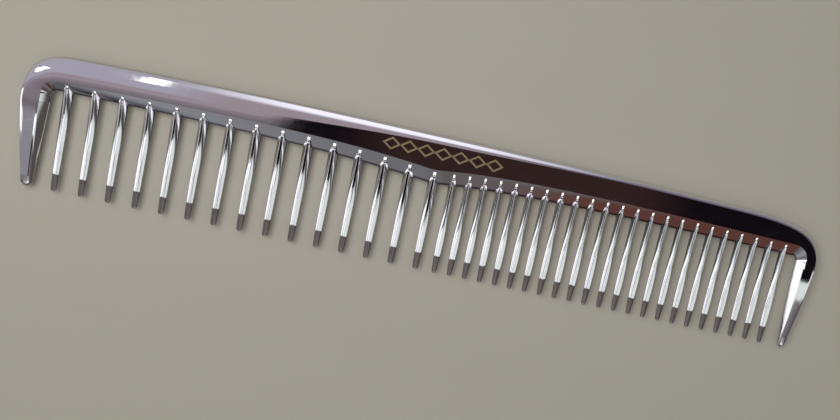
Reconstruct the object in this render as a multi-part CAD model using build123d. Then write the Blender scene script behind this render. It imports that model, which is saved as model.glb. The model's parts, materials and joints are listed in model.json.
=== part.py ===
from build123d import *
import math
import os

# Chrome-plated wide tooth comb, lying flat on its back face.
# X runs along the comb (wide-tooth end at -X), Y runs from the tooth tips (-Y)
# to the spine (+Y), Z is the thickness. Z = 0 is the plane the comb rests on.
# Outlines are first laid out in "comb coordinates": x from the centre line of
# wide tooth 1, y from the line of the tooth tips, z from the parting plane
# half way through the thickness. place() moves them into the final frame.

# ---- driving dimensions (millimetres) ----
LENGTH = 192.3                # over both ends
HEIGHT = 32.87                # tooth tips to the crown of the spine
THICKNESS = 4.0               # front land to back land
HALF = THICKNESS / 2
PARTING_STRIP = 0.2           # plain band left on the outer edge between the roundings
EDGE_RADIUS = HALF - PARTING_STRIP / 2

WIDE_COUNT = 15
WIDE_PITCH = 6.33             # first pitch of the wide section
WIDE_PITCH_STEP = -0.024      # each wide pitch is this much different from the last
SECTION_STEP = 4.58           # last wide tooth to first fine tooth
FINE_COUNT = 23
FINE_PITCH = 3.724

WIDE_END = 10.45              # outer edge of the wide end guard, left of wide tooth 1
FINE_END = LENGTH - WIDE_END  # outer edge of the fine end guard, right of wide tooth 1
GUARD_ROOT = 20.4             # height at which both end guards join the spine

# ---- spine outline ----
CROWN_X = 84.0                # the spine is highest here
CROWN_RADIUS = 2765.0         # long gentle arch of the spine's back
ARCH_START = 6.0              # the arch blends into the wide end corner here
ARCH_END = 160.0              # and into the fine end corner here
# Corner curves: pull of the handles along the arch and above the guard root.
WIDE_CORNER_REACH = 9.0
WIDE_CORNER_RISE = 11.8
FINE_CORNER_REACH = 14.0
FINE_CORNER_RISE = 9.6

# ---- opening between the guards ----
# Every entry is (x, y) on the parting plane, then (x, y) on the spine's face;
# the root bevel is the straight surface between the two.
WIDE_JAMB_LOW = ((-4.75, -3.0), (-6.80, -3.0))
WIDE_JAMB_TOP = ((-3.60, 22.4), (-5.60, 22.4))
WIDE_JAMB_MID = ((-3.20, 23.2), (-4.66, 24.76))
WIDE_ROOT_START = ((-2.40, 23.5), (-2.40, 25.7))
WIDE_ROOT_HANDLE_1 = ((45.0, 23.95), (45.0, 27.0))
WIDE_ROOT_HANDLE_2 = ((68.0, 23.2), (66.0, 26.9))
STEP_START = ((84.7, 21.2), (84.7, 24.75))
STEP_MID = ((86.55, 21.1), (86.55, 24.65))
STEP_END = ((88.4, 21.25), (88.4, 24.85))
FINE_ROOT_HANDLE_1 = ((101.0, 23.0), (102.0, 27.1))
FINE_ROOT_HANDLE_2 = ((125.0, 23.4), (130.0, 27.0))
FINE_ROOT_END = ((175.4, 22.9), (175.4, 25.85))
FINE_JAMB_MID = ((176.2, 22.6), (177.6, 24.95))
FINE_JAMB_TOP = ((176.5, 21.9), (178.5, 22.75))
FINE_JAMB_LOW = ((177.6, -3.0), (179.6, -3.0))
CUT_MARGIN = 0.25             # the opening tool runs this part of HALF past each face

# ---- teeth ----
TIP_TAPER = 4.1               # length of the steeper taper at each tip
TIP_ROUND = 0.75              # length of the rounded end
# Half width, half depth and ridge radius at the root, at the start of the tip
# taper and just before the rounded end.
WIDE_SECTIONS = ((1.26, 1.42, 0.26), (0.78, 0.50, 0.36), (0.64, 0.36, 0.26))
FINE_SECTIONS = ((0.90, 1.38, 0.20), (0.68, 0.48, 0.32), (0.55, 0.34, 0.24))
WIDE_BELLY = 0.04             # extra half width a third of the way up, over a straight taper
FINE_BELLY = 0.02
SHAFT_STEPS = 5               # sections along the shaft
TOP_CLEARANCE = 0.5           # rims lower than this above the guard roots stay sharp
BURY = 3.6                    # how far a tooth blank runs up into the spine before trimming
ROOT_CORNER = 0.5             # radius of the corners at the top of each gap
BELLY_SHIFT = 1.6             # above 1 moves the belly towards the tip
CORNER_STEPS = 3              # sections round each corner
END_SCALES = ((0.45, 0.84), (0.12, 0.50), (0.0, 0.22))   # (part of TIP_ROUND left, size)

# ---- end guards: height, outer edge, inner edge, half depth ----
WIDE_GUARD_SECTIONS = (
    (15.0, -9.95, -3.93, 1.86),
    (10.0, -9.30, -4.16, 1.64),
    (5.5, -8.55, -4.40, 1.34),
    (2.4, -7.70, -4.62, 1.02),
    (1.0, -7.15, -4.85, 0.80),
)
FINE_GUARD_SECTIONS = (
    (15.0, 181.35, 176.80, 1.80),
    (10.0, 180.85, 177.02, 1.58),
    (5.5, 180.35, 177.20, 1.30),
    (2.4, 179.75, 177.32, 0.98),
    (1.0, 179.35, 177.45, 0.78),
)
GUARD_END_SCALES = ((0.40, 0.72), (0.0, 0.30))           # (height, size)

# ---- foil ornament on the front land ----
FOIL_X = 87.5                 # centre of the ornament along the comb
FOIL_Y = 28.65                # and above the tips
FOIL_LENGTH = 29.0
FOIL_HEIGHT = 3.1
FOIL_LINKS = 7                # lozenges in the chain
FOIL_STROKE = 0.42
FOIL_THICKNESS = 0.05
FOIL_LAP = 0.30               # neighbouring lozenges overlap this much at their points


def place(shape):
    """Move a solid from comb coordinates into the final frame."""
    shift = Location(((WIDE_END - FINE_END) / 2, -HEIGHT / 2, HALF))
    return shift * shape


def save(shape, node):
    """Write one named sub-part."""
    solid = place(shape)
    solid.label = node
    export_step(solid, f"parts/{node}.step")
    box = solid.bounding_box()
    print(node, [round(v, 2) for v in (*box.min, *box.max)], round(solid.volume, 2), len(solid.solids()))


def across(height):
    """Plane square to the teeth at one height above the tips: local x along the comb, local y up."""
    return Plane(origin=(0, height, 0), x_dir=(1, 0, 0), z_dir=(0, -1, 0))


def between(pair, level):
    """Point of the opening outline at level 0 (parting plane) to 1 (spine face) and beyond."""
    low, high = pair
    return (low[0] + (high[0] - low[0]) * level, low[1] + (high[1] - low[1]) * level)


# ---------------------------------------------------------------- spine

def spine_blank():
    """Spine and both corner lugs before the opening is cut, with its outer edges rounded."""
    def arch(x):
        return HEIGHT - (x - CROWN_X) ** 2 / (2 * CROWN_RADIUS)

    def slope(x):
        return -(x - CROWN_X) / CROWN_RADIUS

    wide_top = (ARCH_START, arch(ARCH_START))
    fine_top = (ARCH_END, arch(ARCH_END))
    wide_foot = (-WIDE_END, GUARD_ROOT)
    fine_foot = (FINE_END, GUARD_ROOT)
    back = ThreePointArc(wide_top, (CROWN_X, HEIGHT), fine_top)
    wide_corner = Bezier(
        wide_top,
        (ARCH_START - WIDE_CORNER_REACH, wide_top[1] - slope(ARCH_START) * WIDE_CORNER_REACH),
        (wide_foot[0], GUARD_ROOT + WIDE_CORNER_RISE),
        wide_foot,
    )
    fine_corner = Bezier(
        fine_top,
        (ARCH_END + FINE_CORNER_REACH, fine_top[1] + slope(ARCH_END) * FINE_CORNER_REACH),
        (fine_foot[0], GUARD_ROOT + FINE_CORNER_RISE),
        fine_foot,
    )
    outline = make_face([back, wide_corner, Line(wide_foot, fine_foot), fine_corner])
    blank = extrude(outline, amount=HALF, both=True)
    rims = [
        edge
        for edge in blank.edges()
        if abs(abs(edge.center().Z) - HALF) < 0.01 and edge.center().Y > GUARD_ROOT + TOP_CLEARANCE
    ]
    return fillet(rims, EDGE_RADIUS)


def opening_outline(level):
    """Outline of the space between the guards and below the spine at one level."""
    def p(pair):
        return between(pair, level)

    edges = [
        Line(p(WIDE_JAMB_LOW), p(WIDE_JAMB_TOP)),
        ThreePointArc(p(WIDE_JAMB_TOP), p(WIDE_JAMB_MID), p(WIDE_ROOT_START)),
        Bezier(p(WIDE_ROOT_START), p(WIDE_ROOT_HANDLE_1), p(WIDE_ROOT_HANDLE_2), p(STEP_START)),
        ThreePointArc(p(STEP_START), p(STEP_MID), p(STEP_END)),
        Bezier(p(STEP_END), p(FINE_ROOT_HANDLE_1), p(FINE_ROOT_HANDLE_2), p(FINE_ROOT_END)),
        ThreePointArc(p(FINE_ROOT_END), p(FINE_JAMB_MID), p(FINE_JAMB_TOP)),
        Line(p(FINE_JAMB_TOP), p(FINE_JAMB_LOW)),
        Line(p(FINE_JAMB_LOW), p(WIDE_JAMB_LOW)),
    ]
    return Location((0, 0, level * HALF)) * make_face(edges)


def opening():
    """Bevelled tool that cuts the root line of the teeth and the guards' inner flanks."""
    upper = loft([opening_outline(0), opening_outline(1 + CUT_MARGIN)], ruled=True)
    return upper + mirror(upper, about=Plane.XY)


def root_height(x):
    """Height of the parting line of the spine at x."""
    if x < STEP_END[0][0]:
        points = (WIDE_ROOT_START, WIDE_ROOT_HANDLE_1, WIDE_ROOT_HANDLE_2, STEP_START)
    else:
        points = (STEP_END, FINE_ROOT_HANDLE_1, FINE_ROOT_HANDLE_2, FINE_ROOT_END)
    curve = Bezier(*[pair[0] for pair in points])
    low, high = 0.0, 1.0
    for _ in range(30):
        middle = (low + high) / 2
        if (curve @ middle).X < x:
            low = middle
        else:
            high = middle
    return (curve @ low).Y


# ---------------------------------------------------------------- teeth

def tooth_section(height, half_width, half_depth, ridge):
    """Lens of a tooth: two flanks from each parting edge to a narrow rounded ridge."""
    centre = half_depth - ridge
    reach = math.hypot(half_width, centre)
    # Angle of the tangent point on the ridge circle, seen from its centre.
    turn = math.acos(ridge / reach) - math.atan2(centre, half_width)
    tangent = (ridge * math.cos(turn), centre + ridge * math.sin(turn))
    right = (half_width, 0)
    left = (-half_width, 0)
    edges = [
        Line(right, tangent),
        ThreePointArc(tangent, (0, half_depth), (-tangent[0], tangent[1])),
        Line((-tangent[0], tangent[1]), left),
        Line(left, (-tangent[0], -tangent[1])),
        ThreePointArc((-tangent[0], -tangent[1]), (0, -half_depth), (tangent[0], -tangent[1])),
        Line((tangent[0], -tangent[1]), right),
    ]
    return across(height) * make_face(edges)


def tooth(x, sections, belly, spine):
    """One tooth centred at x, trimmed to sit against the spine's root bevels."""
    root, taper, end = sections
    top = root_height(x)
    profile = [tooth_section(top + BURY, root[0] + ROOT_CORNER, *root[1:])]
    for step in range(CORNER_STEPS):
        turn = math.pi / 2 * step / CORNER_STEPS
        flare = ROOT_CORNER * (1 - math.sin(turn))
        drop = ROOT_CORNER * (1 - math.cos(turn))
        profile.append(tooth_section(top - drop, root[0] + flare, *root[1:]))
    top -= ROOT_CORNER
    for step in range(SHAFT_STEPS):
        part = step / SHAFT_STEPS
        width, depth, ridge = [low + (high - low) * part for low, high in zip(root, taper)]
        width += belly * math.sin(math.pi * part ** BELLY_SHIFT)
        profile.append(tooth_section(top + (TIP_TAPER - top) * part, width, depth, ridge))
    profile.append(tooth_section(TIP_TAPER, *taper))
    profile.append(tooth_section(TIP_ROUND, *end))
    for left, size in END_SCALES:
        profile.append(tooth_section(TIP_ROUND * left, *[value * size for value in end]))
    blank = Location((x, 0, 0)) * loft(profile, ruled=True)
    trimmed = blank - spine
    # Trimming may also leave a sliver along the parting edge; the tooth is the largest piece.
    return max(trimmed.solids(), key=lambda solid: solid.volume)


# ---------------------------------------------------------------- end guards

def guard_section(height, outer, inner, half_depth):
    """Guard section: rounded outer edge, flat lands, flank sloping in to the parting edge."""
    way = 1 if inner > outer else -1
    radius = half_depth - PARTING_STRIP / 2 * half_depth / HALF
    strip = half_depth - radius
    nose = outer + way * radius
    crest = inner - way * half_depth
    lean = radius * (1 - math.cos(math.pi / 4))
    edges = [
        Line((inner, 0), (crest, half_depth)),
        Line((crest, half_depth), (nose, half_depth)),
        ThreePointArc((nose, half_depth), (outer + way * lean, half_depth - lean), (outer, strip)),
        Line((outer, strip), (outer, -strip)),
        ThreePointArc((outer, -strip), (outer + way * lean, lean - half_depth), (nose, -half_depth)),
        Line((nose, -half_depth), (crest, -half_depth)),
        Line((crest, -half_depth), (inner, 0)),
    ]
    return across(height) * make_face(edges)


def guard(outer, jamb_top, jamb_low, sections):
    """End guard from its root on the spine down to its rounded tip."""
    part = (GUARD_ROOT - jamb_low[0][1]) / (jamb_top[0][1] - jamb_low[0][1])
    inner = jamb_low[0][0] + (jamb_top[0][0] - jamb_low[0][0]) * part
    profile = [guard_section(GUARD_ROOT, outer, inner, HALF)]
    profile += [guard_section(*entry) for entry in sections]
    _, last_outer, last_inner, last_depth = sections[-1]
    middle = (last_outer + last_inner) / 2
    spread = (last_outer - last_inner) / 2
    for height, size in GUARD_END_SCALES:
        profile.append(
            guard_section(height, middle + spread * size, middle - spread * size, last_depth * size)
        )
    return loft(profile, ruled=True)


# ---------------------------------------------------------------- foil ornament

def foil():
    """Chain of open lozenges, one thin piece lying on the front land."""
    link = (FOIL_LENGTH + FOIL_LAP * (FOIL_LINKS - 1)) / FOIL_LINKS
    chain = Sketch()
    for index in range(FOIL_LINKS):
        x = FOIL_X - FOIL_LENGTH / 2 + link / 2 + index * (link - FOIL_LAP)
        corners = ((-link / 2, 0), (0, -FOIL_HEIGHT / 2), (link / 2, 0), (0, FOIL_HEIGHT / 2))
        outer = Polygon(*corners, align=None)
        inner = offset(outer, -FOIL_STROKE)
        chain += Location((x, FOIL_Y)) * (outer - inner)
    return Location((0, 0, HALF)) * extrude(chain, amount=FOIL_THICKNESS)


# ---------------------------------------------------------------- assembly

os.makedirs("parts", exist_ok=True)

spine = spine_blank() - opening()
save(spine, "spine")
save(guard(-WIDE_END, WIDE_JAMB_TOP, WIDE_JAMB_LOW, WIDE_GUARD_SECTIONS), "end_guard_wide")
save(guard(FINE_END, FINE_JAMB_TOP, FINE_JAMB_LOW, FINE_GUARD_SECTIONS), "end_guard_fine")

x = 0.0
for number in range(1, WIDE_COUNT + 1):
    save(tooth(x, WIDE_SECTIONS, WIDE_BELLY, spine), f"wide_tooth_{number:02d}")
    x += WIDE_PITCH + WIDE_PITCH_STEP * (number - 1)
x += SECTION_STEP - WIDE_PITCH - WIDE_PITCH_STEP * (WIDE_COUNT - 1)
for number in range(1, FINE_COUNT + 1):
    save(tooth(x, FINE_SECTIONS, FINE_BELLY, spine), f"fine_tooth_{number:02d}")
    x += FINE_PITCH
save(foil(), "foil_ornament")
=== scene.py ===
"""Looks of the chrome wide tooth comb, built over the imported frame.

The comb lies on its back face. Outlines are laid out in comb coordinates, in
millimetres: x from the centre line of wide tooth 1, y from the tooth tips and z
from the parting plane half way through the thickness. place() turns them into
metres in the frame. A length below is in millimetres unless a comment says metres.
"""
import functools
import json
import math

import bmesh
import bpy
from mathutils import Matrix, Vector


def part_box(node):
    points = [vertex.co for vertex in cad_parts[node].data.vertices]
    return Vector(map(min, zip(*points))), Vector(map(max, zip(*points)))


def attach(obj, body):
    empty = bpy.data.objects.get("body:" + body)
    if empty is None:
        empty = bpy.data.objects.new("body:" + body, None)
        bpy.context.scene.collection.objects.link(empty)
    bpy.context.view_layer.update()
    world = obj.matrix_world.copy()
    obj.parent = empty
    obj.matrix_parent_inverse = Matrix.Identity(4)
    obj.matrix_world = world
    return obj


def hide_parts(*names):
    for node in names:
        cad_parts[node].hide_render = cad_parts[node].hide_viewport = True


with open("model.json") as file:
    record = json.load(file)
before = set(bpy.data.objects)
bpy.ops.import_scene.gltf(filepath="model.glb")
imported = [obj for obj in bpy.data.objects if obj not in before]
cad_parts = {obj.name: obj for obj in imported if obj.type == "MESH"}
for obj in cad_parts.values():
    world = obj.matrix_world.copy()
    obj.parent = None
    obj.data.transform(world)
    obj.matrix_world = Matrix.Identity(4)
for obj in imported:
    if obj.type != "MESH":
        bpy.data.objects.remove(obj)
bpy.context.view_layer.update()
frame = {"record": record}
MM = 0.001
HALVINGS = 40                 # steps of solve(), which leave no visible error


def span(node):
    """Lowest and highest corner of a CAD node in millimetres."""
    low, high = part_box(node)
    return [value / MM for value in low], [value / MM for value in high]


FIRST_LOW, FIRST_HIGH = span("wide_tooth_01")
SPINE_LOW, SPINE_HIGH = span("spine")
ORIGIN_X = (FIRST_LOW[0] + FIRST_HIGH[0]) / 2
ORIGIN_Y = FIRST_LOW[1]
ORIGIN_Z = (SPINE_LOW[2] + SPINE_HIGH[2]) / 2
HALF = (SPINE_HIGH[2] - SPINE_LOW[2]) / 2
CROWN_Y = SPINE_HIGH[1] - ORIGIN_Y
WIDE_END = SPINE_LOW[0] - ORIGIN_X
FINE_END = SPINE_HIGH[0] - ORIGIN_X
GUARD_ROOT = SPINE_LOW[1] - ORIGIN_Y


def place(x, y, z):
    """Comb coordinates in millimetres to a point of the frame in metres."""
    return Vector((x + ORIGIN_X, y + ORIGIN_Y, z + ORIGIN_Z)) * MM


def mix(a, b, t):
    """Value a share t of the way from a to b."""
    return a + (b - a) * t


def mix_points(a, b, t):
    """Point a share t of the way from a to b."""
    return (mix(a[0], b[0], t), mix(a[1], b[1], t))


def ease(low, high, value):
    """Smooth step from 0 at low to 1 at high."""
    t = min(1.0, max(0.0, (value - low) / (high - low)))
    return t * t * (3 - 2 * t)


def bezier(points, t):
    """Point of a cubic curve."""
    s = 1 - t
    weights = (s ** 3, 3 * s * s * t, 3 * s * t * t, t ** 3)
    return tuple(sum(w * p[axis] for w, p in zip(weights, points)) for axis in (0, 1))


def solve(function, low, high):
    """Value between low and high where a function changes sign, by halving."""
    rising = function(high) > function(low)
    for _ in range(HALVINGS):
        middle = (low + high) / 2
        if (function(middle) > 0) == rising:
            high = middle
        else:
            low = middle
    return (low + high) / 2


# ------------------------------------------------------------ outlines

CROWN_X = 84.0                # the spine is highest here
CROWN_RADIUS = 2765.0         # long gentle arch of the spine's back
ARCH_START = 6.0              # the arch blends into the corner at the wide end here
ARCH_END = 160.0              # and into the corner at the close end here
WIDE_CORNER_REACH = 9.0       # pull of a corner curve's handles along the arch
WIDE_CORNER_RISE = 11.8       # and above the guard root
FINE_CORNER_REACH = 14.0
FINE_CORNER_RISE = 9.6


def arch(x):
    """Height of the spine's long back edge."""
    return CROWN_Y - (x - CROWN_X) ** 2 / (2 * CROWN_RADIUS)


def arch_slope(x):
    """Slope of the spine's long back edge."""
    return -(x - CROWN_X) / CROWN_RADIUS


WIDE_CORNER = (
    (ARCH_START, arch(ARCH_START)),
    (ARCH_START - WIDE_CORNER_REACH, arch(ARCH_START) - WIDE_CORNER_REACH * arch_slope(ARCH_START)),
    (WIDE_END, GUARD_ROOT + WIDE_CORNER_RISE),
    (WIDE_END, GUARD_ROOT),
)
FINE_CORNER = (
    (ARCH_END, arch(ARCH_END)),
    (ARCH_END + FINE_CORNER_REACH, arch(ARCH_END) + FINE_CORNER_REACH * arch_slope(ARCH_END)),
    (FINE_END, GUARD_ROOT + FINE_CORNER_RISE),
    (FINE_END, GUARD_ROOT),
)

# Root line of the teeth: first curve under the wide section, second under the
# close section, each on the parting plane (0) and on the spine's face (1).
WIDE_ROOT = (
    ((-2.4, 23.5), (45.0, 23.95), (68.0, 23.2), (86.5, 21.0)),
    ((-2.4, 25.7), (45.0, 27.0), (66.0, 26.9), (86.5, 24.55)),
)
FINE_ROOT = (
    ((86.5, 21.0), (101.0, 23.0), (125.0, 23.4), (175.4, 22.9)),
    ((86.5, 24.55), (102.0, 27.1), (130.0, 27.0), (175.4, 25.85)),
)
STEP_X = 86.5
STEP_BLEND = 2.2              # half length of the soft bend between the two curves
WIDE_PIVOT = (-2.4, 22.4)     # centre of the corner between spine and wide end guard
FINE_PIVOT = (175.4, 21.9)


def curve_height(points, x):
    """Height of a root curve at x, carried straight on past its ends."""
    first, last = points[0], points[-1]
    if x <= first[0]:
        return first[1]
    if x >= last[0]:
        return last[1] + (x - last[0]) * (last[1] - points[2][1]) / (last[0] - points[2][0])
    t = solve(lambda t: bezier(points, t)[0] - x, 0.0, 1.0)
    return bezier(points, t)[1]


def root(x, level):
    """Height of the root line at x on the parting plane (0) or on the face (1)."""
    if x < STEP_X - STEP_BLEND:
        return curve_height(WIDE_ROOT[level], x)
    if x > STEP_X + STEP_BLEND:
        return curve_height(FINE_ROOT[level], x)
    left = curve_height(WIDE_ROOT[level], STEP_X - STEP_BLEND)
    right = curve_height(FINE_ROOT[level], STEP_X + STEP_BLEND)
    middle = curve_height(WIDE_ROOT[level], STEP_X)
    t = (x - STEP_X + STEP_BLEND) / (2 * STEP_BLEND)
    return (1 - t) ** 2 * left + 2 * t * (1 - t) * middle + t * t * right


def on_corner(corner, pivot, angle):
    """Where a ray from the pivot meets a corner curve."""
    direction = (math.cos(angle), math.sin(angle))

    def side(t):
        """Above 0 on one side of the ray and below 0 on the other."""
        point = bezier(corner, t)
        return (point[0] - pivot[0]) * direction[1] - (point[1] - pivot[1]) * direction[0]

    return bezier(corner, solve(side, 0.0, 1.0))


def back_edge(x):
    """Height of the outer edge above x."""
    if x < ARCH_START:
        return bezier(WIDE_CORNER, solve(lambda t: bezier(WIDE_CORNER, t)[0] - x, 0.0, 1.0))[1]
    if x > ARCH_END:
        return bezier(FINE_CORNER, solve(lambda t: bezier(FINE_CORNER, t)[0] - x, 0.0, 1.0))[1]
    return arch(x)


def end_edge(corner, y):
    """Outer edge beside a lug at height y."""
    return bezier(corner, solve(lambda t: bezier(corner, t)[1] - y, 0.0, 1.0))[0]


# ------------------------------------------------------------ spine and guards

PARTING_ROUND = 0.16          # reach of the soft thin edge along the parting line, up the bevel
PARTING_SETBACK = 0.3         # that edge stands back by this share of its reach
PARTING_PULL = 0.45           # and its curve is pulled this share of the way up
SHARP_EDGE = math.radians(22)     # the spine's edges sharper than this stay crisp
BACK_STEPS = 14
FACE_STEPS = 8
BEVEL_STEPS = 7
EDGE_STEPS = 4
BEVEL_SWELL = 0.06            # how much the root bevel swells between its edges
BEVEL_STOP = 0.5              # the even steps up the bevel stop this share of crest_round early
FACE_LEAN = 0.02              # the face domes to this slope where it meets the root bevel
MOST_ROUNDING = 0.8           # the back edge's rounding takes at most this share of the face


def soft_corner(before, corner, after, steps):
    """Points of a small rounded corner, both ends included."""
    points = []
    for step in range(steps + 1):
        t = step / steps
        s = 1 - t
        points.append(tuple(
            s * s * before[axis] + 2 * s * t * corner[axis] + t * t * after[axis] for axis in (0, 1)
        ))
    return points


def profile(bevel, face, half, rounding, lean, crest_round):
    """Front half of a section: (distance from the parting edge, height), inner edge to back edge.

    lean is the slope of the face where it meets the bevel; without crest_round
    that edge stays crisp.
    """
    rounding = min(rounding, face * MOST_ROUNDING)
    crown = lean * (face - rounding) / 2

    def top(distance):
        """Height at a distance from the back edge: a quarter ellipse, then the domed face."""
        outward = 1 - min(distance, rounding) / rounding
        inward = max(0.0, distance - rounding) / (face - rounding)
        return half * math.sqrt(max(0.0, 1 - outward * outward)) - crown * inward * inward

    crest = half - crown
    slope = crest / bevel

    def ramp(distance):
        """Height of the slightly swollen root bevel."""
        return distance * slope + BEVEL_SWELL * math.sin(math.pi * distance / bevel)

    setback = PARTING_ROUND * PARTING_SETBACK
    points = soft_corner(
        (setback, 0.0),
        (setback, PARTING_ROUND * PARTING_PULL * slope),
        (PARTING_ROUND, ramp(PARTING_ROUND)),
        EDGE_STEPS,
    )
    back = bevel + face
    if crest_round:
        last = bevel - crest_round
        after = bevel + crest_round
        crest_points = soft_corner(
            (last, ramp(last)), (bevel, crest), (after, top(back - after)), EDGE_STEPS)
    else:
        last = bevel
        after = bevel
        crest_points = []
    for step in range(1, BEVEL_STEPS + 1):
        q = mix(PARTING_ROUND, last - crest_round * BEVEL_STOP, step / BEVEL_STEPS)
        points.append((q, ramp(q)))
    points += crest_points
    for step in range(1, FACE_STEPS + 1):
        q = mix(after, back - rounding, step / FACE_STEPS)
        points.append((q, top(back - q)))
    for step in range(1, BACK_STEPS + 1):
        turn = math.pi / 2 * (1 - step / BACK_STEPS)
        distance = rounding * (1 - math.cos(turn))
        points.append((back - distance, half * math.sin(turn)))
    return points


def section(parting, crest, back, half, rounding, lean=FACE_LEAN, crest_round=0.0):
    """Closed ring of points round the spine or a guard, from three points in plan."""
    bevel = math.dist(parting, crest)
    face = math.dist(crest, back)
    front = []
    for q, z in profile(bevel, face, half, rounding, lean, crest_round):
        if q <= bevel:
            point = mix_points(parting, crest, q / bevel)
        else:
            point = mix_points(crest, back, (q - bevel) / face)
        front.append((point[0], point[1], z))
    behind = [(x, y, -z) for x, y, z in reversed(front[1:-1])]
    return front + behind


# Reach of the back edge's rounding across the face: broad at the wide end, then
# narrower, then tight at the close end; and the stretches over which it changes.
ROUNDING_WIDE = 4.6
ROUNDING_MIDDLE = 2.2
ROUNDING_CLOSE = 1.0
WIDE_TO_MIDDLE = (35.0, 88.0)
MIDDLE_TO_CLOSE = (84.0, 138.0)
CLOSE_SHARE = 0.92            # how far the last change goes
GUARD_ROUNDING = 1.4          # the same reach on the outer edge of the wide end guard

# A lug is the stub of the spine that carries an end guard. From its pivot, how far
# along X the foot and the crest of its bevel are.
WIDE_LUG = (-1.2, -2.9)
FINE_LUG = (1.1, 3.1)
LUG_DRAFT = 0.04              # the bevel moves out by this much per millimetre down
LUG_STEPS = 4
CORNER_STEPS = 26
LONG_STEPS = 200
CORNER_EASE = 0.8             # share of the corner over which the rounding broadens


def rounding_at(x):
    """Reach of the back edge's rounding at x."""
    rounding = mix(ROUNDING_WIDE, ROUNDING_MIDDLE, ease(*WIDE_TO_MIDDLE, x))
    return mix(rounding, ROUNDING_CLOSE, ease(*MIDDLE_TO_CLOSE, x) * CLOSE_SHARE)


def lug_x(pivot, reach, y):
    """Place along X of an edge of a lug's bevel at height y."""
    return pivot[0] + reach + math.copysign((pivot[1] - y) * LUG_DRAFT, reach)


def lug_ring(corner, pivot, lug, y, rounding):
    """Ring across a lug at height y."""
    foot, crest = [(lug_x(pivot, reach, y), y) for reach in lug]
    return section(foot, crest, (end_edge(corner, y), y), HALF, rounding)


def corner_ring(corner, pivot, lug, angle, t, rounding):
    """Ring across the turn from a lug (t = 0) to the spine (t = 1)."""
    edges = []
    for level, reach in enumerate(lug):
        radius = mix(abs(reach), root(pivot[0], level) - pivot[1], t)
        edges.append((pivot[0] + math.cos(angle) * radius, pivot[1] + math.sin(angle) * radius))
    return section(*edges, on_corner(corner, pivot, angle), HALF, rounding)


def spine_sections():
    """Rings from the wide lug, round the corner, along the spine and down to the close lug."""
    rings = []
    for step in range(LUG_STEPS):
        y = mix(GUARD_ROOT, WIDE_PIVOT[1], step / LUG_STEPS)
        rings.append(lug_ring(WIDE_CORNER, WIDE_PIVOT, WIDE_LUG, y, GUARD_ROUNDING))
    for step in range(CORNER_STEPS):
        t = step / CORNER_STEPS
        angle = math.pi * (1 - t / 2)
        rounding = mix(GUARD_ROUNDING, ROUNDING_WIDE, ease(0.0, CORNER_EASE, t))
        rings.append(corner_ring(WIDE_CORNER, WIDE_PIVOT, WIDE_LUG, angle, t, rounding))
    for step in range(LONG_STEPS + 1):
        x = mix(WIDE_PIVOT[0], FINE_PIVOT[0], step / LONG_STEPS)
        edges = [(x, root(x, 0)), (x, root(x, 1)), (x, back_edge(x))]
        rings.append(section(*edges, HALF, rounding_at(x)))
    close_rounding = rounding_at(FINE_END)
    for step in range(1, CORNER_STEPS + 1):
        t = 1 - step / CORNER_STEPS
        angle = math.pi / 2 * t
        rings.append(corner_ring(FINE_CORNER, FINE_PIVOT, FINE_LUG, angle, t, close_rounding))
    for step in range(1, LUG_STEPS + 1):
        y = mix(FINE_PIVOT[1], GUARD_ROOT, step / LUG_STEPS)
        rings.append(lug_ring(FINE_CORNER, FINE_PIVOT, FINE_LUG, y, close_rounding))
    return rings


# How far the outer and the inner edge of an end guard lean in from root to tip, and a
# curve for the outer one: above 1 it leans late.
WIDE_GUARD_LEAN = (2.9, 1.3, 1.3)
FINE_GUARD_LEAN = (2.6, 1.0, 1.55)
GUARD_SHAFT_STEPS = 30
GUARD_TIP_STEPS = 12
GUARD_TIP_LENGTH = 1.3        # length of the rounded end
GUARD_TIP_FLAT = 0.06         # share of the width left flat at the very tip
GUARD_THINNING = 0.66         # share of the thickness lost from root to tip
GUARD_THINNING_CURVE = 1.75   # above 1 the thickness is lost late
GUARD_INNER_CURVE = 1.15      # and so with the lean of the inner edge
GUARD_BEVEL_ROOT = 1.7        # width of the inner bevel at the root
GUARD_BEVEL_TIP = 1.15        # and at the tip, before it shrinks with the guard
GUARD_BEVEL_SHRINK = 0.35
GUARD_TIP_ROUNDING = 0.40     # reach of the outer rounding at the tip, as a share of the width
CREST_AT_GUARD_ROOT = 0.02    # softness of the edge between face and bevel
CREST_AT_GUARD_TIP = 0.30


def guard_heights():
    """Heights of the rings down an end guard: shaft, then rounded end."""
    heights = []
    for step in range(GUARD_SHAFT_STEPS + 1):
        heights.append(mix(GUARD_ROOT, GUARD_TIP_LENGTH, step / GUARD_SHAFT_STEPS))
    for step in range(1, GUARD_TIP_STEPS + 1):
        heights.append(GUARD_TIP_LENGTH * (1 - math.sin(math.pi / 2 * step / GUARD_TIP_STEPS)))
    return heights


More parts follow.
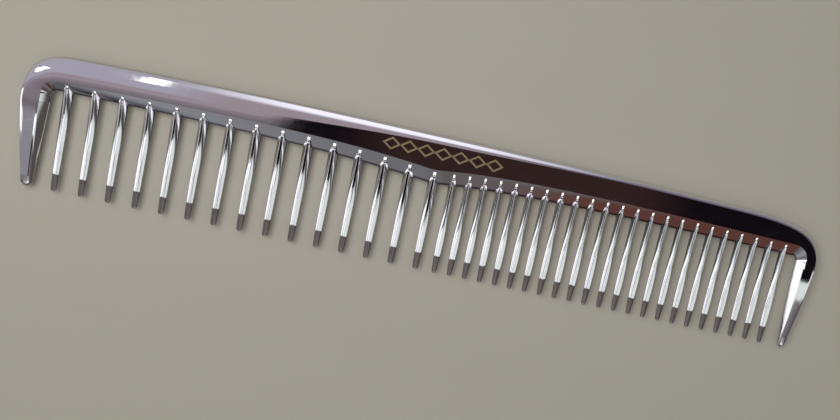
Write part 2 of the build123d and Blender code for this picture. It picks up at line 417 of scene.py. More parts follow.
def guard_sections(outer, inner, outer_lean, inner_lean, lean_curve, rounding):
    """Rings down an end guard from its root to its rounded tip.

    outer and inner are the edges at the root; the leans move them in towards the tip.
    """
    way = 1 if inner > outer else -1
    rings = []
    for y in guard_heights():
        down = 1 - y / GUARD_ROOT
        far = outer + way * outer_lean * down ** lean_curve
        near = inner - way * inner_lean * down ** GUARD_INNER_CURVE
        depth = HALF * (1 - GUARD_THINNING * down ** GUARD_THINNING_CURVE)
        shrink = 1.0
        if y < GUARD_TIP_LENGTH:
            circle = math.sqrt(max(0.0, 1 - (1 - y / GUARD_TIP_LENGTH) ** 2))
            shrink = mix(GUARD_TIP_FLAT, 1.0, circle)
        middle = (far + near) / 2
        far = mix(middle, far, shrink)
        near = mix(middle, near, shrink)
        width = abs(near - far)
        bevel = mix(GUARD_BEVEL_ROOT, GUARD_BEVEL_TIP, down) * width
        bevel /= mix(abs(inner - outer), width, GUARD_BEVEL_SHRINK)
        crest_round = mix(CREST_AT_GUARD_ROOT, CREST_AT_GUARD_TIP, down) * shrink
        rings.append(section(
            (near, y), (near - way * bevel, y), (far, y), depth * shrink,
            mix(rounding, width * GUARD_TIP_ROUNDING, down), 0.0, crest_round))
    return rings


def wide_guard():
    """Skin of the broad end guard at the wide-tooth end."""
    inner = lug_x(WIDE_PIVOT, WIDE_LUG[0], GUARD_ROOT)
    rings = guard_sections(WIDE_END, inner, *WIDE_GUARD_LEAN, GUARD_ROUNDING)
    return tube("wide_guard_skin", rings, True)


def fine_guard():
    """Skin of the slimmer end guard at the close-tooth end."""
    inner = lug_x(FINE_PIVOT, FINE_LUG[0], GUARD_ROOT)
    rings = guard_sections(FINE_END, inner, *FINE_GUARD_LEAN, rounding_at(FINE_END))
    return tube("fine_guard_skin", rings, True)


# ------------------------------------------------------------ teeth

RIDGE_BLEND = 0.40            # how broadly a tooth's ridge flows into the spine's root bevel
FLANK_BLEND = 0.02            # and how narrowly its flanks do
BLEND_CHANGE = (0.8, 1.5)     # stretch of the half section over which one becomes the other
SKIRT = 2.0                   # steepness of a tooth's surface carried on below the parting plane
CAP = 0.62                    # length of the rounded end
CAP_FLAT = 0.04               # share of the width left flat at the very tip
LAND_CROWN = 0.02             # how much the land on the ridge domes, as a share of its height
EDGE_AT = 3                   # place of the parting edge in the half section
TOOTH_COLUMNS = 18
ROOT_ROWS = 12
BLEND_ROWS = 8
SHAFT_ROWS = 16
TIP_ROWS = 8
CAP_ROWS = 8
# Height above the tips, then half width, half depth, half the flat land on the
# ridge and roundness (1 is a straight flank, 2 an ellipse). The first row is where the
# ridge meets the spine's root bevel, the second is at the root on the parting plane and
# the third from the end is where the tip begins.
ROOT_ROW = 1
TIP_ROW = -3
WIDE_TOOTH = (
    (24.9, 1.20, 1.42, 0.33, 1.03),
    (23.5, 1.18, 1.30, 0.33, 1.03),
    (18.0, 1.08, 0.84, 0.31, 1.10),
    (14.0, 1.01, 0.62, 0.24, 1.30),
    (11.0, 0.93, 0.51, 0.12, 1.65),
    (7.5, 0.87, 0.45, 0.03, 1.95),
    (4.3, 0.81, 0.42, 0.02, 2.00),
    (3.6, 0.80, 0.40, 0.02, 2.00),
    (0.62, 0.68, 0.24, 0.02, 2.00),
)
FINE_TOOTH = (
    (24.3, 0.87, 1.38, 0.23, 1.03),
    (22.9, 0.87, 1.26, 0.23, 1.03),
    (18.0, 0.82, 0.85, 0.22, 1.10),
    (14.0, 0.83, 0.61, 0.18, 1.30),
    (11.0, 0.86, 0.47, 0.10, 1.65),
    (7.5, 0.86, 0.40, 0.03, 1.95),
    (4.3, 0.78, 0.38, 0.02, 2.00),
    (3.6, 0.74, 0.37, 0.02, 2.00),
    (0.62, 0.57, 0.22, 0.02, 2.00),
)


def tooth_size(shape, y):
    """Half width, half depth, land and roundness at height y, smoothly through the rows."""
    if y >= shape[0][0]:
        return shape[0][1:]
    if y <= shape[-1][0]:
        rise = 1 - y / CAP
        scale = mix(CAP_FLAT, 1.0, math.sqrt(max(0.0, 1 - rise * rise)))
        width, depth, land, roundness = shape[-1][1:]
        return width * scale, depth * scale, land * scale, roundness
    row = next(index for index in range(len(shape) - 1) if y >= shape[index + 1][0])
    near = [shape[max(0, min(len(shape) - 1, row + step))] for step in (-1, 0, 1, 2)]
    t = (near[1][0] - y) / (near[1][0] - near[2][0])
    sizes = []
    for column in range(1, 5):
        values = [station[column] for station in near]
        gap = near[2][0] - near[1][0]
        lean_in = (values[2] - values[0]) / ((near[2][0] - near[0][0]) or gap) * gap
        lean_out = (values[3] - values[1]) / ((near[3][0] - near[1][0]) or gap) * gap
        sizes.append(
            (2 * t ** 3 - 3 * t ** 2 + 1) * values[1] + (t ** 3 - 2 * t ** 2 + t) * lean_in
            + (3 * t ** 2 - 2 * t ** 3) * values[2] + (t ** 3 - t ** 2) * lean_out
        )
    return tuple(sizes)


def tooth_point(size, u):
    """Half section: land for u 0 to 1, flank up to EDGE_AT and a skirt below the plane."""
    width, depth, land, roundness = size
    crown = LAND_CROWN * depth
    if u <= 1:
        return land * u, depth - crown * u * u
    if u <= EDGE_AT:
        turn = math.pi / 2 * (u - 1) / (EDGE_AT - 1)
        power = 2 / roundness
        across = max(0.0, math.sin(turn)) ** power
        up = max(0.0, math.cos(turn)) ** power
        return land + (width - land) * across, (depth - crown) * up
    return width + (u - EDGE_AT) / SKIRT, EDGE_AT - u


def blend_at(u):
    """Reach of the root blend at a place of the half section."""
    return mix(RIDGE_BLEND, FLANK_BLEND, ease(*BLEND_CHANGE, u))


def soft_max(a, b, reach):
    """The larger of two values, rounded where they are within reach of each other."""
    near = max(0.0, reach - abs(a - b))
    return max(a, b) + near * near / (4 * reach)


def tooth_heights(shape, top, parting, fade):
    """Heights of the rows down a tooth: root, end of the blend, shaft, tip and rounded end."""
    tip = shape[TIP_ROW][0]
    stretches = (
        (top, parting, ROOT_ROWS),
        (parting, fade, BLEND_ROWS),
        (fade, tip, SHAFT_ROWS),
        (tip, CAP, TIP_ROWS),
    )
    heights = []
    for start, end, count in stretches:
        heights += [mix(start, end, step / count) for step in range(count)]
    quarter = math.pi / 2 / (CAP_ROWS - 1)
    return heights + [CAP * (1 - math.sin(quarter * step)) for step in range(CAP_ROWS)]


def section_end(size, wall):
    """Place of the half section where it meets a bevel that stands wall above the parting plane."""
    last = EDGE_AT + FLANK_BLEND
    if wall >= 0:
        return solve(lambda u: wall - blend_at(u) - tooth_point(size, u)[1], 0.0, last)
    if wall > -FLANK_BLEND:
        low = solve(lambda level: soft_max(level, wall, FLANK_BLEND), -FLANK_BLEND, 0.0)
        return solve(lambda u: low - tooth_point(size, u)[1], 0.0, last)
    return EDGE_AT


def tooth_mesh(name, centre, shape):
    """One tooth, its ridge and flanks flowing into the root bevels of the spine."""
    parting = root(centre, 0)
    rise = HALF / (root(centre, 1) - parting)
    top = parting + (shape[0][2] + RIDGE_BLEND) / rise
    fade = parting - FLANK_BLEND / rise
    shift = shape[ROOT_ROW][0] - parting
    rows = []
    for y in tooth_heights(shape, top, parting, fade):
        size = tooth_size(shape, y + shift * ease(shape[TIP_ROW][0], parting, y))
        wall = (y - parting) * rise
        last = section_end(size, wall)
        side = []
        for column in range(TOOTH_COLUMNS + 1):
            u = last * column / TOOTH_COLUMNS
            x, level = tooth_point(size, u)
            z = soft_max(level, wall, blend_at(u))
            side.append((x, z if wall >= 0 else max(0.0, z)))
        line = [(-x, z) for x, z in reversed(side[1:])] + side
        rows.append([(centre + x, y, z) for x, z in line])
    return sheet_pair(name, rows)


# ------------------------------------------------------------ mesh helpers

TOOTH_SHARP_EDGE = math.radians(50)
WELD = 0.002                  # points of the two sheets of a tooth nearer than this are one


def finish_mesh(name, mesh_data, sharp_angle=None):
    """Turn a bmesh into a smooth object; edges sharper than sharp_angle stay crisp."""
    bmesh.ops.recalc_face_normals(mesh_data, faces=mesh_data.faces)
    mesh = bpy.data.meshes.new(name)
    mesh_data.to_mesh(mesh)
    mesh_data.free()
    for polygon in mesh.polygons:
        polygon.use_smooth = True
    if sharp_angle is not None:
        mesh.set_sharp_from_angle(angle=sharp_angle)
    piece = bpy.data.objects.new(name, mesh)
    bpy.context.scene.collection.objects.link(piece)
    return piece


def add_grid(mesh_data, rows, closed):
    """Quads over rows of points; closed rows wrap round."""
    grid = [[mesh_data.verts.new(place(*point)) for point in row] for row in rows]
    for first, second in zip(grid, grid[1:]):
        count = len(first)
        for index in range(count if closed else count - 1):
            after = (index + 1) % count
            mesh_data.faces.new((first[index], first[after], second[after], second[index]))
    return grid


def sheet_pair(name, rows):
    """Front sheet and its mirror image, joined where they meet on the parting plane."""
    mesh_data = bmesh.new()
    add_grid(mesh_data, rows, closed=False)
    add_grid(mesh_data, [[(x, y, -z) for x, y, z in row] for row in rows], closed=False)
    bmesh.ops.remove_doubles(mesh_data, verts=mesh_data.verts, dist=WELD * MM)
    return finish_mesh(name, mesh_data, TOOTH_SHARP_EDGE)


def tube(name, rings, cap_end, sharp_angle=None):
    """Skin over rings of points, closed at its far end if asked."""
    mesh_data = bmesh.new()
    grid = add_grid(mesh_data, rings, closed=True)
    if cap_end:
        mesh_data.faces.new(grid[-1])
    return finish_mesh(name, mesh_data, sharp_angle)


# ------------------------------------------------------------ foil ornament

FOIL_LINKS = 7
FOIL_LAP = 0.30               # how far neighbouring lozenges overlap
FOIL_STROKE = 0.42            # width of a lozenge's outline
FOIL_SUNK = 0.02              # how far the foil reaches into the face
FOIL_RISE = 0.045             # and how far it stands above it


def lozenge(mesh_data, middle, length, height):
    """One open lozenge of foil round a middle point."""
    inset = FOIL_STROKE * math.hypot(length / 2, height / 2) / (length * height / 4)
    corners = ((-length / 2, 0), (0, -height / 2), (length / 2, 0), (0, height / 2))
    for near, far in zip(corners, corners[1:] + corners[:1]):
        quad = (near, far, mix_points(far, (0, 0), inset), mix_points(near, (0, 0), inset))
        lower, upper = [
            [mesh_data.verts.new(place(middle[0] + x, middle[1] + y, level)) for x, y in quad]
            for level in (HALF - FOIL_SUNK, HALF + FOIL_RISE)
        ]
        mesh_data.faces.new(upper)
        for corner in range(4):
            after = (corner + 1) % 4
            mesh_data.faces.new((lower[corner], lower[after], upper[after], upper[corner]))


def foil_ornament():
    """Chain of open lozenges of thin foil on the front land."""
    low, high = span("foil_ornament")
    link = (high[0] - low[0] + FOIL_LAP * (FOIL_LINKS - 1)) / FOIL_LINKS
    middle_y = (low[1] + high[1]) / 2 - ORIGIN_Y
    mesh_data = bmesh.new()
    for index in range(FOIL_LINKS):
        middle_x = low[0] + link / 2 + index * (link - FOIL_LAP) - ORIGIN_X
        lozenge(mesh_data, (middle_x, middle_y), link, high[1] - low[1])
    piece = finish_mesh("foil_chain", mesh_data)
    for polygon in piece.data.polygons:
        polygon.use_smooth = False
    return piece


# ------------------------------------------------------------ materials

# Painted shade: a darker colour along the parting plane, wider at the roots of the teeth, stands in
# for the dark line that the surroundings leave there.
PAINTED_SHADE_AT_TIP = 0.10            # reach of the painted shade either side of the parting plane
PAINTED_SHADE_AT_ROOT = 0.34           # how much further it reaches along the spine
PAINTED_SHADE_ON_TEETH = 0.22          # and up at the roots of the teeth
PAINTED_SHADE_GROWS = (14.0, 21.0)     # heights between which it widens
PAINTED_SHADE_FADES = (1.0, 0.55)      # shares of its reach where it is gone and where it is full
PAINTED_SHADE_STRENGTH = 0.9
PAINTED_SHADE_COLOUR = (0.16, 0.16, 0.19)
PLATING = (0.82, 0.81, 0.835)
PLATING_DIM = (0.77, 0.755, 0.78)
TIP_WEAR_AND_PAINTED_REFLECTION = 4.1                # length of the worn tips, dark with a painted reflection
GUARD_WEAR_AND_PAINTED_REFLECTION = 2.4              # and of the worn ends of the guards, with the same painted dark reflection
GUARD_WEAR_AND_REFLECTION_STRENGTH = 0.6
WEAR_AND_REFLECTION_RAGGED = 0.5             # how far the edge of the wear and its painted reflection wanders
WEAR_AND_REFLECTION_EDGE = 0.3               # and how soft it is
# Painted reflection: the dark brown-grey colour of the worn tips stands in for the dark
# surroundings that the tapered tips mirror; only their extra roughness is wear.
TIP_PAINTED_REFLECTION = (0.165, 0.142, 0.138)
TIP_PAINTED_REFLECTION_LIGHT = (0.245, 0.215, 0.21)
TIP_ROUGHNESS = 0.34
HAZE = (0.03, 0.07)           # range of the plating's roughness
HAZE_STRETCH = (1, 2.5, 1)
RIPPLE_STRENGTH = 0.05        # of the plating's unevenness
RIPPLE_DEPTH = 0.08
FOIL = (0.32, 0.27, 0.13)
FOIL_LIGHT = (0.44, 0.38, 0.21)
FOIL_METAL = 0.85
FOIL_ROUGHNESS = (0.38, 0.6)
PAPER = (0.60, 0.565, 0.475)
PAPER_LIGHT = (0.64, 0.605, 0.515)
PAPER_STRETCH = (0.3, 3, 1)
PAPER_ROUGHNESS = 0.8
# Noise patterns: fineness per metre and detail.
PLATING_GRAIN = (90, 3)
WEAR_AND_REFLECTION_GRAIN = (900, 2)
TIP_REFLECTION_GRAIN = (1500, 3)
HAZE_GRAIN = (260, 4)
RIPPLE_GRAIN = (420, 2)
FOIL_GRAIN = (700, 4)
FOIL_RUB_GRAIN = (900, 3)
PAPER_GRAIN = (12, 3)
NOISE_RANGE = (0.3, 0.7)      # nearly all of a noise pattern lies in here


def feed(tree, value, socket):
    """Link an output to a socket, or set a number or colour on it."""
    if isinstance(value, (int, float)):
        socket.default_value = value
    elif isinstance(value, tuple):
        socket.default_value = (*value, 1)
    else:
        tree.links.new(value, socket)


def maths(tree, operation, first, second=0.0):
    """One step of arithmetic on outputs or numbers."""
    made = tree.nodes.new("ShaderNodeMath")
    made.operation = operation
    feed(tree, first, made.inputs[0])
    feed(tree, second, made.inputs[1])
    return made.outputs["Value"]


def smooth(tree, value, low, high):
    """Smooth mask, 0 at low and 1 at high, whichever of the two is larger."""
    made = tree.nodes.new("ShaderNodeMapRange")
    made.interpolation_type = "SMOOTHSTEP"
    feed(tree, value, made.inputs["Value"])
    flip = low > high
    made.inputs["From Min"].default_value = min(low, high)
    made.inputs["From Max"].default_value = max(low, high)
    made.inputs["To Min"].default_value = 1.0 if flip else 0.0
    made.inputs["To Max"].default_value = 0.0 if flip else 1.0
    return made.outputs["Result"]


def blend_colour(tree, mask, under, over):
    """One colour where the mask is 0 and the other where it is 1."""
    made = tree.nodes.new("ShaderNodeMixRGB")
    feed(tree, mask, made.inputs["Fac"])
    feed(tree, under, made.inputs["Color1"])
    feed(tree, over, made.inputs["Color2"])
    return made.outputs["Color"]


def new_material(name):
    """A material, its node tree and its surface shader."""
    material = bpy.data.materials.new(name)
    material.use_nodes = True
    tree = material.node_tree
    return material, tree, tree.nodes["Principled BSDF"]


def noise(tree, scale, detail, stretch=(1, 1, 1)):
    """Noise over the piece's own coordinates, per metre."""
    where = tree.nodes.new("ShaderNodeTexCoord")
    squeeze = tree.nodes.new("ShaderNodeMapping")
    squeeze.inputs["Scale"].default_value = stretch
    pattern = tree.nodes.new("ShaderNodeTexNoise")
    pattern.inputs["Scale"].default_value = scale
    pattern.inputs["Detail"].default_value = detail
    tree.links.new(where.outputs["Object"], squeeze.inputs["Vector"])
    tree.links.new(squeeze.outputs["Vector"], pattern.inputs["Vector"])
    return pattern.outputs["Fac"]


def spread(tree, pattern, low, high):
    """Map a noise pattern onto a range of values."""
    made = tree.nodes.new("ShaderNodeMapRange")
    made.inputs["From Min"].default_value = NOISE_RANGE[0]
    made.inputs["From Max"].default_value = NOISE_RANGE[1]
    made.inputs["To Min"].default_value = low
    made.inputs["To Max"].default_value = high
    tree.links.new(pattern, made.inputs["Value"])
    return made.outputs["Result"]


def painted_shade_mask(tree, y, z, reach_at_root):
    """Mask of the painted shade along the parting plane, wider by reach_at_root at the roots."""
    away = maths(tree, "ABSOLUTE", maths(tree, "SUBTRACT", z, ORIGIN_Z * MM))
    near_root = smooth(tree, y, *[(ORIGIN_Y + height) * MM for height in PAINTED_SHADE_GROWS])
    reach = maths(tree, "MULTIPLY", near_root, reach_at_root * MM)
    reach = maths(tree, "ADD", reach, PAINTED_SHADE_AT_TIP * MM)
    painted_shade = smooth(tree, maths(tree, "DIVIDE", away, reach), *PAINTED_SHADE_FADES)
    return maths(tree, "MULTIPLY", painted_shade, PAINTED_SHADE_STRENGTH)


def wear_and_reflection_mask(tree, y, strength, length):
    """Mask of the worn ends and their painted dark reflection, of a length above the tips."""
    ragged = maths(tree, "MULTIPLY", noise(tree, *WEAR_AND_REFLECTION_GRAIN), WEAR_AND_REFLECTION_RAGGED * MM)
    height = maths(tree, "SUBTRACT", y, ragged)
    tip_line = (ORIGIN_Y + length) * MM
    mask = smooth(tree, height, tip_line, tip_line - WEAR_AND_REFLECTION_EDGE * MM)
    return maths(tree, "MULTIPLY", mask, strength)


def chrome_material(name, wear_and_reflection_strength, wear_and_reflection_length, painted_shade_at_root):
    """Mirror-bright plating with a faint ripple, painted shade along the parting line and worn tips
    with a painted dark reflection.
    """
    material, tree, shader = new_material(name)
    shader.inputs["Metallic"].default_value = 1.0
    where = tree.nodes.new("ShaderNodeTexCoord")
    split = tree.nodes.new("ShaderNodeSeparateXYZ")
    tree.links.new(where.outputs["Object"], split.inputs["Vector"])

    plain = blend_colour(tree, noise(tree, *PLATING_GRAIN), PLATING, PLATING_DIM)
    painted_shade = painted_shade_mask(tree, split.outputs["Y"], split.outputs["Z"], painted_shade_at_root)
    # Painted shade along the parting line, wider at the roots of the teeth.
    with_painted_shade = blend_colour(tree, painted_shade, plain, PAINTED_SHADE_COLOUR)
    worn_and_reflection = wear_and_reflection_mask(tree, split.outputs["Y"], wear_and_reflection_strength, wear_and_reflection_length)
    # Painted dark reflection on the worn tips and guard ends.
    tip_reflection_colour = blend_colour(tree, noise(tree, *TIP_REFLECTION_GRAIN), TIP_PAINTED_REFLECTION, TIP_PAINTED_REFLECTION_LIGHT)
    feed(tree, blend_colour(tree, worn_and_reflection, with_painted_shade, tip_reflection_colour), shader.inputs["Base Color"])

    haze = spread(tree, noise(tree, *HAZE_GRAIN, HAZE_STRETCH), *HAZE)
    rough = maths(tree, "ADD", haze, maths(tree, "MULTIPLY", worn_and_reflection, TIP_ROUGHNESS))
    feed(tree, rough, shader.inputs["Roughness"])

    ripple = tree.nodes.new("ShaderNodeBump")
    ripple.inputs["Strength"].default_value = RIPPLE_STRENGTH
    ripple.inputs["Distance"].default_value = RIPPLE_DEPTH * MM
    feed(tree, noise(tree, *RIPPLE_GRAIN), ripple.inputs["Height"])
    feed(tree, ripple.outputs["Normal"], shader.inputs["Normal"])
    return material


def foil_material():
    """Satin gold foil, duller in places where handling has rubbed it."""
    material, tree, shader = new_material("gold_foil")
    shader.inputs["Metallic"].default_value = FOIL_METAL
    tint = blend_colour(tree, noise(tree, *FOIL_GRAIN), FOIL, FOIL_LIGHT)
    feed(tree, tint, shader.inputs["Base Color"])
    rough = spread(tree, noise(tree, *FOIL_RUB_GRAIN), *FOIL_ROUGHNESS)
    feed(tree, rough, shader.inputs["Roughness"])
    return material


def floor_material():
    """Plain pale paper, faintly streaked."""
    material, tree, shader = new_material("floor_paper")
    tint = blend_colour(tree, noise(tree, *PAPER_GRAIN, PAPER_STRETCH), PAPER, PAPER_LIGHT)
    feed(tree, tint, shader.inputs["Base Color"])
    shader.inputs["Roughness"].default_value = PAPER_ROUGHNESS
    return material


# ------------------------------------------------------------ what the chrome mirrors

# Colours of the surround, as strengths of light.
LEFT_CEILING = (0.37, 0.31, 0.355)
LEFT_CEILING_FAR = (0.31, 0.28, 0.32)
CEILING_FRONT = (0.135, 0.118, 0.128)
CEILING_OVER_GUARD = (0.29, 0.28, 0.315)
WINDOW_LEFT = (1.35, 1.37, 1.42)
DARK_OVERHEAD = (0.006, 0.004, 0.006)
BROWN_OVERHEAD = (0.035, 0.018, 0.017)
THIN_SHADE = (0.20, 0.21, 0.225)
SHADE_RIGHT = (0.13, 0.11, 0.12)
ROOT_LIGHT = (0.42, 0.43, 0.45)
WALL_RIGHT = (0.82, 0.90, 0.87)
LOW_RIGHT = (0.095, 0.082, 0.075)
STRIP_LEFT = (0.37, 0.315, 0.345)
STRIP_RIGHT = (0.11, 0.09, 0.11)
BEHIND_LEFT = (0.44, 0.42, 0.50)
BEHIND_MIDDLE = (1.15, 1.15, 1.28)
BEHIND_RIGHT = (0.23, 0.21, 0.31)
FRONT_LEFT = (0.19, 0.165, 0.175)
FRONT_RIGHT = (0.10, 0.072, 0.068)
LOW_FRONT_LEFT = (0.30, 0.31, 0.335)
LOW_FRONT_MIDDLE = (0.155, 0.155, 0.165)
LOW_FRONT_RIGHT = (0.120, 0.050, 0.040)
LOW_FRONT_HORIZON = (0.03, 0.03, 0.035)
LAMP = (2.4, 2.4, 2.4)

# The surround is painted in layers, each over the ones before it. A layer is a colour, or
# a group of layers, then the soft edges that bound it. An edge is a measure of direction,
# where the layer starts to show and where it shows in full. The measures are the parts x,
# y and z of the direction, lean (degrees from straight up to the right) and pitch (y over
# z). Edges in brackets of their own are alternatives: any one of them is enough.
OVER_FACES = (
    (LEFT_CEILING_FAR,),
    (LEFT_CEILING, ("lean", -50, -24)),
    (CEILING_FRONT, ("y", -0.05, -0.17)),
    (DARK_OVERHEAD, ("lean", -13, -11)),
    (BROWN_OVERHEAD, ("lean", -9, -4), ("lean", 15, 10)),
)
OVER_SHAFTS = (
    (WINDOW_LEFT,),
    (WALL_RIGHT, ("lean", -12, -7)),
    (THIN_SHADE, ("lean", -10, -7), ("lean", 1, -2)),
)
OVER_ROOTS = (
    (DARK_OVERHEAD,),
    (ROOT_LIGHT, ("lean", 5, 9)),
    (SHADE_RIGHT, ("lean", 19, 24)),
    (CEILING_OVER_GUARD, ("lean", -24.8, -25.8)),
)
STRIP = (
    (STRIP_LEFT,),
    (STRIP_RIGHT, ("x", -0.05, 0.18)),
    (BEHIND_LEFT, ("x", -0.26, -0.34)),
)
BEHIND = (
    (BEHIND_LEFT,),
    (BEHIND_MIDDLE, ("x", -0.34, -0.20)),
    (BEHIND_RIGHT, ("x", -0.05, 0.22)),
)
LOW_FRONT = (
    (LOW_FRONT_LEFT,),
    (LOW_FRONT_MIDDLE, ("x", -0.40, -0.05)),
    (
        LOW_FRONT_RIGHT, ("x", 0.02, 0.15), ("y", -0.82, -0.86),
        (("z", 0.32, 0.38), ("x", 0.14, 0.20)), ("x", 0.54, 0.46),
    ),
    (LOW_FRONT_HORIZON, ("z", 0.22, 0.0)),
)
FRONT = (
    (FRONT_LEFT,),
    (FRONT_RIGHT, ("x", -0.15, 0.15)),
    (LOW_FRONT, ("y", -0.55, -0.70)),
)
SURROUND = (
    # Overhead, then further forward what the shafts and the roots of the teeth mirror.
    (OVER_FACES,),
    (OVER_SHAFTS, ("y", -0.175, -0.190)),
    (OVER_ROOTS, ("pitch", -0.272, -0.290)),
    (CEILING_OVER_GUARD, ("lean", -31.8, -31), ("lean", -24.4, -25.2), ("y", -0.13, -0.18)),
    # Low down on both sides.
    (WALL_RIGHT, ("lean", 26, 30), ("y", -0.282, -0.266), ("y", -0.114, -0.130)),
    (LOW_RIGHT, ("lean", 66, 76), ("y", -0.10, -0.13)),
    (WINDOW_LEFT, ("lean", -41, -50), ("y", -0.282, -0.266), ("y", -0.034, -0.050)),
    # Behind the spine, then in front of the tips.
    (STRIP, ("y", 0.05, 0.12)),
    (BEHIND, ("y", 0.50, 0.78)),
    (FRONT, ("y", -0.36, -0.41)),
    # Lamps seen as a line along the end guard and as beads at the roots of the teeth.
    (LAMP, ("x", -0.363, -0.352), ("x", -0.330, -0.341), ("y", 0.37, 0.42), ("y", 0.83, 0.78)),
    (
        LAMP, ("y", -0.80, -0.76), ("y", -0.41, -0.45),
        ("x", -0.41, -0.36), ("x", 0.39, 0.34), ("z", 0.1, 0.3),
    ),
)
# Lamps seen as oval highlights: direction, then half width along the horizon and half
# height across it, in degrees.
OVAL_LAMPS = (
    ((-0.69, 0.32, 0.635), 3.0, 13.0),
    ((0.52, -0.64, 0.51), 8.0, 8.0),
)
OVAL_FADES = (1.3, 0.6)       # squares of the shares of its size where an oval is gone and full
OVAL_SIDE = (0.2, 0.4)        # how much a direction must face it, so that it has no twin behind
LOW_Z = 0.1                   # pitch divides by no less than this


def edge_mask(tree, measures, edge):
    """Mask of one soft edge, or of the strongest of several alternatives."""
    if isinstance(edge[0], str):
        measure, start, end = edge
        return smooth(tree, measures[measure], start, end)
    masks = [edge_mask(tree, measures, alternative) for alternative in edge]
    return functools.reduce(lambda a, b: maths(tree, "MAXIMUM", a, b), masks)


def paint(tree, measures, layers):
    """Colour of a group of layers by direction."""
    colour = None
    for over, *edges in layers:
        if isinstance(over[0], tuple):
            over = paint(tree, measures, over)
        if not edges:
            colour = over
            continue
        masks = [edge_mask(tree, measures, edge) for edge in edges]
        mask = functools.reduce(lambda a, b: maths(tree, "MULTIPLY", a, b), masks)
        colour = blend_colour(tree, mask, colour, over)
    return colour


def dot(tree, direction, axis):
    """Part of a direction along an axis."""
    made = tree.nodes.new("ShaderNodeVectorMath")
    made.operation = "DOT_PRODUCT"
    tree.links.new(direction, made.inputs[0])
    made.inputs[1].default_value = axis
    return made.outputs["Value"]


def oval(tree, direction, towards, half_width, half_height):
    """Oval mask about a direction."""
    centre = Vector(towards).normalized()
    side = centre.cross(Vector((0, 0, 1))).normalized()
    up = side.cross(centre)
    total = 0.0
    for axis, half in ((side, half_width), (up, half_height)):
        share = dot(tree, direction, axis / math.sin(math.radians(half)))
        square = maths(tree, "POWER", maths(tree, "ABSOLUTE", share), 2.0)
        total = maths(tree, "ADD", square, total)
    facing = smooth(tree, dot(tree, direction, centre), *OVAL_SIDE)
    return maths(tree, "MULTIPLY", smooth(tree, total, *OVAL_FADES), facing)


def studio_surround():
    """What the chrome mirrors, a colour for each direction; only the chrome sees it."""
    world = bpy.data.worlds.new("soft_surround")
    bpy.context.scene.world = world
    world.use_nodes = True
    tree = world.node_tree
    where = tree.nodes.new("ShaderNodeTexCoord")
    direction = where.outputs["Generated"]
    split = tree.nodes.new("ShaderNodeSeparateXYZ")
    tree.links.new(direction, split.inputs["Vector"])
    x, y, z = [split.outputs[axis] for axis in "XYZ"]
    lean = maths(tree, "MULTIPLY", maths(tree, "ARCTAN2", x, z), math.degrees(1))
    pitch = maths(tree, "DIVIDE", y, maths(tree, "MAXIMUM", z, LOW_Z))
    measures = {"x": x, "y": y, "z": z, "lean": lean, "pitch": pitch}
    colour = paint(tree, measures, SURROUND)
    for lamp in OVAL_LAMPS:
        colour = blend_colour(tree, oval(tree, direction, *lamp), colour, LAMP)
    tree.links.new(colour, tree.nodes["Background"].inputs["Color"])
    world.cycles_visibility.diffuse = False
    world.cycles_visibility.camera = False


# ------------------------------------------------------------ lamps, floor and camera

# Places and sizes from here on are in metres, apart from the floor's gap.
SKY_ANGLE = math.radians(120)
SKY_STRENGTH = 0.84
KEY_PLACE = (-0.12, 0.09, 0.35)
KEY_SIZE = 0.30
KEY_POWER = 0.52
STUDIO_RADIUS = 2.0
FLOOR_GAP = 0.02              # the floor lies this far under the comb
BACKDROP = (0.42, 0.40, 0.36)


def link_floor_lamp(lamp):
    """Put a lamp in the scene, mirrored by nothing and not seen by the camera."""
    lamp.visible_glossy = False
    lamp.visible_camera = False
    bpy.context.scene.collection.objects.link(lamp)


def key_lamp():
    """Broad lamp for the floor, aimed at the comb."""
    data = bpy.data.lights.new("key", "AREA")
    data.shape = "DISK"
    data.size = KEY_SIZE
    data.energy = KEY_POWER
    lamp = bpy.data.objects.new("key", data)
    lamp.location = KEY_PLACE
    lamp.rotation_euler = (-Vector(KEY_PLACE)).to_track_quat("-Z", "Y").to_euler()
    link_floor_lamp(lamp)


def sky_lamp():
    """Even light over the whole floor, from straight above and soft all round."""
    data = bpy.data.lights.new("sky", "SUN")
    data.angle = SKY_ANGLE
    data.energy = SKY_STRENGTH
    link_floor_lamp(bpy.data.objects.new("sky", data))


def floor():
    """Round sheet of paper just under the comb."""
    level = (SPINE_LOW[2] - FLOOR_GAP) * MM
    bpy.ops.mesh.primitive_circle_add(
        vertices=96, radius=STUDIO_RADIUS, fill_type="NGON", location=(0, 0, level))
    plane = bpy.context.object
    plane.name = "floor"
    plane.data.materials.append(floor_material())


def backdrop():
    """Plain pale wall all round, seen by the camera only."""
    bpy.ops.mesh.primitive_uv_sphere_add(segments=64, ring_count=32, radius=STUDIO_RADIUS)
    dome = bpy.context.object
    dome.name = "backdrop"
    material = bpy.data.materials.new("backdrop_paper")
    material.use_nodes = True
    tree = material.node_tree
    glow = tree.nodes.new("ShaderNodeEmission")
    feed(tree, BACKDROP, glow.inputs["Color"])
    tree.links.new(glow.outputs["Emission"], tree.nodes["Material Output"].inputs["Surface"])
    dome.data.materials.append(material)
    dome.visible_diffuse = False
    dome.visible_glossy = False
    dome.visible_shadow = False


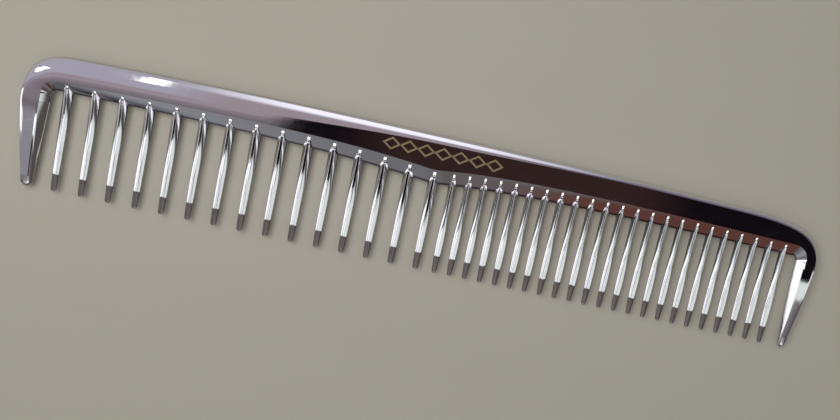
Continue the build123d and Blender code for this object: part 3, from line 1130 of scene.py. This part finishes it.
# The camera looks almost straight down on the comb, from over the spine side. The
# photograph is the left part of a wider view, so the lens is shifted.
AIM = Vector((0.0224, 0.0030, 0.0020))
DISTANCE = 0.2158
TILT = math.radians(8.46)             # away from straight down
TILT_TOWARDS = math.radians(26.3)     # the tilt leans from +Y round towards -X
PICTURE_RIGHT = Vector((0.97456, 0.22141, 0.03485))
SENSOR_WIDTH = 36.0                   # this and the lens in millimetres
LENS = 38.57143
SHIFT = -0.1190476
CLIP_START = 0.01
CLIP_END = 20.0


def camera():
    """Camera at the photograph's place, with its right side along PICTURE_RIGHT."""
    data = bpy.data.cameras.new("photo_view")
    eye = bpy.data.objects.new("photo_view", data)
    bpy.context.scene.collection.objects.link(eye)
    back = Vector((
        -math.sin(TILT) * math.sin(TILT_TOWARDS),
        math.sin(TILT) * math.cos(TILT_TOWARDS),
        math.cos(TILT),
    ))
    right = (PICTURE_RIGHT - back * PICTURE_RIGHT.dot(back)).normalized()
    up = back.cross(right)
    turn = Matrix((right, up, back)).transposed().to_4x4()
    eye.matrix_world = Matrix.Translation(AIM + back * DISTANCE) @ turn
    data.sensor_width = SENSOR_WIDTH
    data.lens = LENS
    data.shift_x = SHIFT
    data.clip_start = CLIP_START
    data.clip_end = CLIP_END
    bpy.context.scene.camera = eye


# ------------------------------------------------------------ build

def dress(piece, material, node):
    """Give a piece its material and slot, and let it stand in for its CAD node."""
    piece.data.materials.append(material)
    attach(piece, "root")
    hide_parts(node)


camera()
# Each chrome carries painted shade along the parting line; the teeth and the guards also carry a
# painted dark reflection on their worn ends.
chrome = chrome_material("chrome_plating", 0.0, 0.0, PAINTED_SHADE_AT_ROOT)
guard_chrome = chrome_material("chrome_plating_end_guard", GUARD_WEAR_AND_REFLECTION_STRENGTH, GUARD_WEAR_AND_PAINTED_REFLECTION, 0.0)
tooth_chrome = chrome_material("chrome_plating_worn_tips_painted_reflection", 1.0, TIP_WEAR_AND_PAINTED_REFLECTION, PAINTED_SHADE_ON_TEETH)
gold = foil_material()

dress(tube("spine_skin", spine_sections(), False, SHARP_EDGE), chrome, "spine")
dress(wide_guard(), guard_chrome, "end_guard_wide")
dress(fine_guard(), guard_chrome, "end_guard_fine")
for record in frame["record"]["subparts"]:
    name = record["node"]
    if "_tooth_" in name:
        low, high = span(name)
        shape = WIDE_TOOTH if name.startswith("wide") else FINE_TOOTH
        piece = tooth_mesh(name + "_skin", (low[0] + high[0]) / 2 - ORIGIN_X, shape)
        dress(piece, tooth_chrome, name)
dress(foil_ornament(), gold, "foil_ornament")

floor()
backdrop()
studio_surround()
sky_lamp()
key_lamp()
bpy.context.scene.view_settings.view_transform = "Standard"
